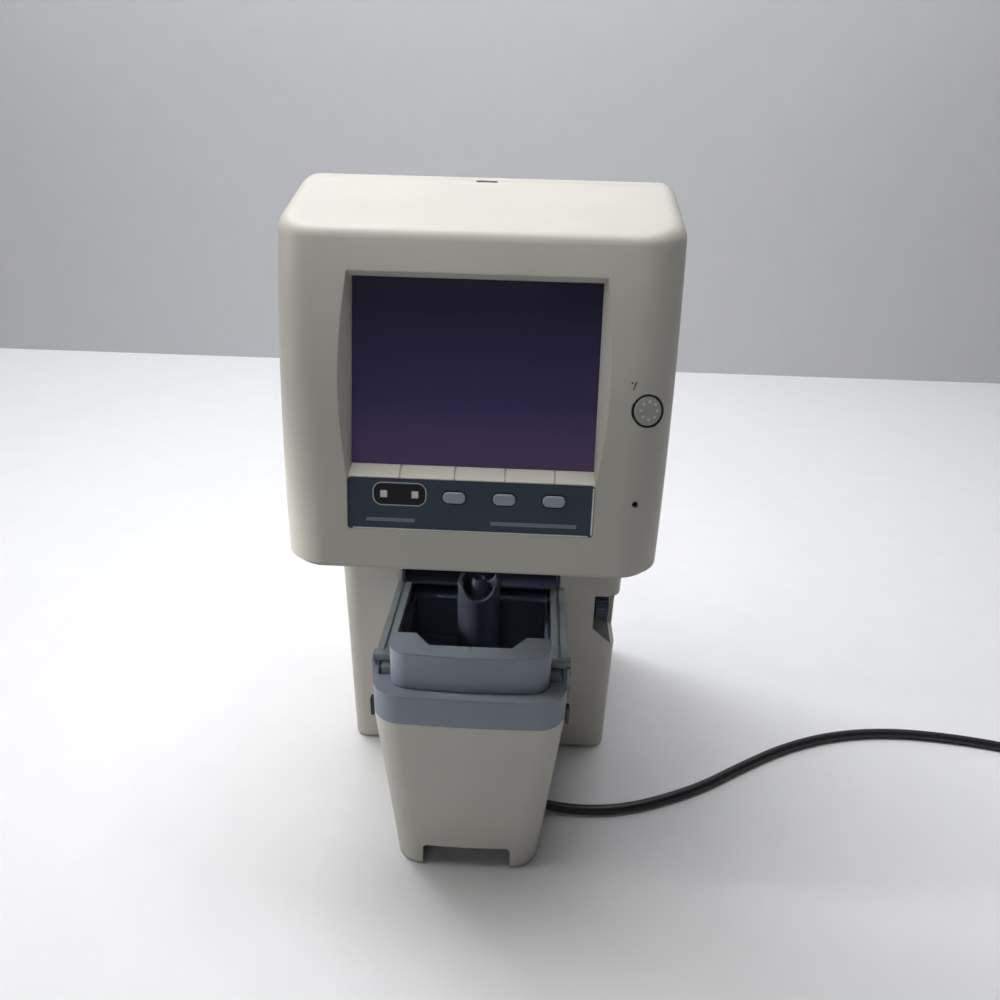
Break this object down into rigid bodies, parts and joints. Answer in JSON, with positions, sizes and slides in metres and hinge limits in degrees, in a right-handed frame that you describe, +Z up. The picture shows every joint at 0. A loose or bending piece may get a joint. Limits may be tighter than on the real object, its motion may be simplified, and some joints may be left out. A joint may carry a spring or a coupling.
{
  "type": "auto lensmeter",
  "caption": "Desktop auto lensmeter: leaning head with a screen over a lens stage, a sliding frame table on a narrow nose, a tower behind and a mains cord.",
  "frame": {"origin": "bottom centre of the instrument without its cord, on the surface it stands on", "axes": "+X to the operator's right, +Y to the back, +Z up; the operator sits at -Y"},
  "size_m": [0.6235, 0.3045, 0.4182],
  "materials": {
    "ivory_shell": "fine moulded texture, slightly aged ivory",
    "ivory_under": "fine moulded texture",
    "blue_grey": "fine moulded texture",
    "navy_lining": "fine moulded texture, dark",
    "rail_metal": "grey green enamel",
    "dark_screw": "black oxide",
    "dark_trim": "satin black",
    "screen_face": "smooth glossy screen face, dark blue purple when off",
    "lcd_body": "black module body",
    "panel_blue": "smooth dark blue slate",
    "key_grey": "satin",
    "key_white": "satin",
    "wheel_blue": "ribbed, satin",
    "frame_metal": "folded sheet",
    "optics_black": "anodised black",
    "lamp_metal": "turned",
    "optical_glass": "polished",
    "board_green": "solder mask",
    "holder_grey": "satin",
    "pen_black": "satin",
    "soft_rubber": "soft",
    "rack_plastic": "natural acetal",
    "gear_brass": "turned",
    "panel_grey": "satin",
    "cord_black": "satin PVC",
    "plug_metal": "plated"
  },
  "bodies": {
    "root": {"front_cover": "ivory_shell", "rear_cover": "ivory_shell", "column_cover": "ivory_shell", "nose_cover": "ivory_shell", "head_floor_cover": "ivory_under", "tray": "blue_grey", "well_liner": "navy_lining", "niche_liner": "navy_lining", "rails": "rail_metal", "rail_screws": "dark_screw", "housing_screws": "dark_screw", "nose_catches": "dark_trim", "button_ring": "dark_trim", "select_bezel": "dark_trim", "switch_frame": "dark_trim", "screen_window": "screen_face", "lcd_panel": "lcd_body", "panel_insert": "panel_blue", "lcd_bracket": "frame_metal", "chassis_frame": "frame_metal", "base_plate": "frame_metal", "holder_guide": "frame_metal", "marker_rail": "frame_metal", "objective_pillar": "optics_black", "light_barrel": "optics_black", "hartmann_plate": "optics_black", "nosepiece": "optics_black", "lamp_housing": "lamp_metal", "imaging_lens": "optical_glass", "field_lens": "optical_glass", "key_board": "board_green", "main_board": "board_green", "power_board": "board_green", "sensor_board": "board_green", "rubber_feet": "soft_rubber", "rear_panel": "panel_grey", "data_port": "panel_grey", "cord_relief": "cord_black", "cord_tube": "cord_black", "cord_tail": "cord_black", "cord_coil": "cord_black", "plug_body": "cord_black", "plug_pins": "plug_metal"},
    "table": {"frame_table": "blue_grey", "table_racks": "rack_plastic"},
    "table_wheel": {"cross_shaft": "frame_metal", "pinions": "gear_brass", "thumbwheel": "wheel_blue"},
    "holder": {"lens_holder": "holder_grey", "holder_pins": "soft_rubber"},
    "marker": {"marker_block": "holder_grey", "marker_pens": "pen_black"},
    "key_1": {"function_key_1": "key_grey"},
    "key_2": {"function_key_2": "key_grey"},
    "key_3": {"function_key_3": "key_grey"},
    "select_left": {"select_key_left": "key_white"},
    "select_right": {"select_key_right": "key_white"},
    "memory": {"memory_button": "key_grey"},
    "trimmer": {"contrast_trimmer": "dark_trim"},
    "rocker": {"power_rocker": "dark_trim"}
  },
  "joints": [
    {"name": "table_slide", "type": "slide", "parent": "root", "child": "table", "axis": [0, 1, 0], "range_m": [0, 0.045]},
    {"name": "wheel_turn", "type": "hinge", "parent": "root", "child": "table_wheel", "pos_m": [0, 0.002, 0.125], "axis": [-1, 0, 0], "range_deg": [0, 323]},
    {"name": "holder_slide", "type": "slide", "parent": "root", "child": "holder", "axis": [0, 0, -1], "range_m": [0, 0.013]},
    {"name": "marker_slide", "type": "slide", "parent": "root", "child": "marker", "axis": [0, -0.7071, -0.7071], "range_m": [0, 0.03], "stiffness_N_per_m": 40, "springref_m": -0.01},
    {"name": "key_1_press", "type": "slide", "parent": "root", "child": "key_1", "axis": [0, 0.987, -0.1607], "range_m": [0, 0.0006], "stiffness_N_per_m": 300, "springref_m": -0.0006},
    {"name": "key_2_press", "type": "slide", "parent": "root", "child": "key_2", "axis": [0, 0.987, -0.1607], "range_m": [0, 0.0006], "stiffness_N_per_m": 300, "springref_m": -0.0006},
    {"name": "key_3_press", "type": "slide", "parent": "root", "child": "key_3", "axis": [0, 0.987, -0.1607], "range_m": [0, 0.0006], "stiffness_N_per_m": 300, "springref_m": -0.0006},
    {"name": "select_left_press", "type": "slide", "parent": "root", "child": "select_left", "axis": [0, 0.987, -0.1607], "range_m": [0, 0.0004], "stiffness_N_per_m": 300, "springref_m": -0.0006},
    {"name": "select_right_press", "type": "slide", "parent": "root", "child": "select_right", "axis": [0, 0.987, -0.1607], "range_m": [0, 0.0004], "stiffness_N_per_m": 300, "springref_m": -0.0006},
    {"name": "memory_press", "type": "slide", "parent": "root", "child": "memory", "axis": [-0.2756, 0.9317, -0.2366], "range_m": [0, 0.0008], "stiffness_N_per_m": 300, "springref_m": -0.0006},
    {"name": "trimmer_turn", "type": "hinge", "parent": "root", "child": "trimmer", "pos_m": [0.0873, -0.12128, 0.26338], "axis": [0, -0.9692, 0.2462], "range_deg": [-135, 135]},
    {"name": "rocker_tilt", "type": "hinge", "parent": "root", "child": "rocker", "pos_m": [-0.036, 0.128, 0.053], "axis": [1, 0, 0], "range_deg": [0, 14]}
  ],
  "couplings": [
    {"joint": "wheel_turn", "follows": "table_slide", "rad_per_m": 125}
  ]
}
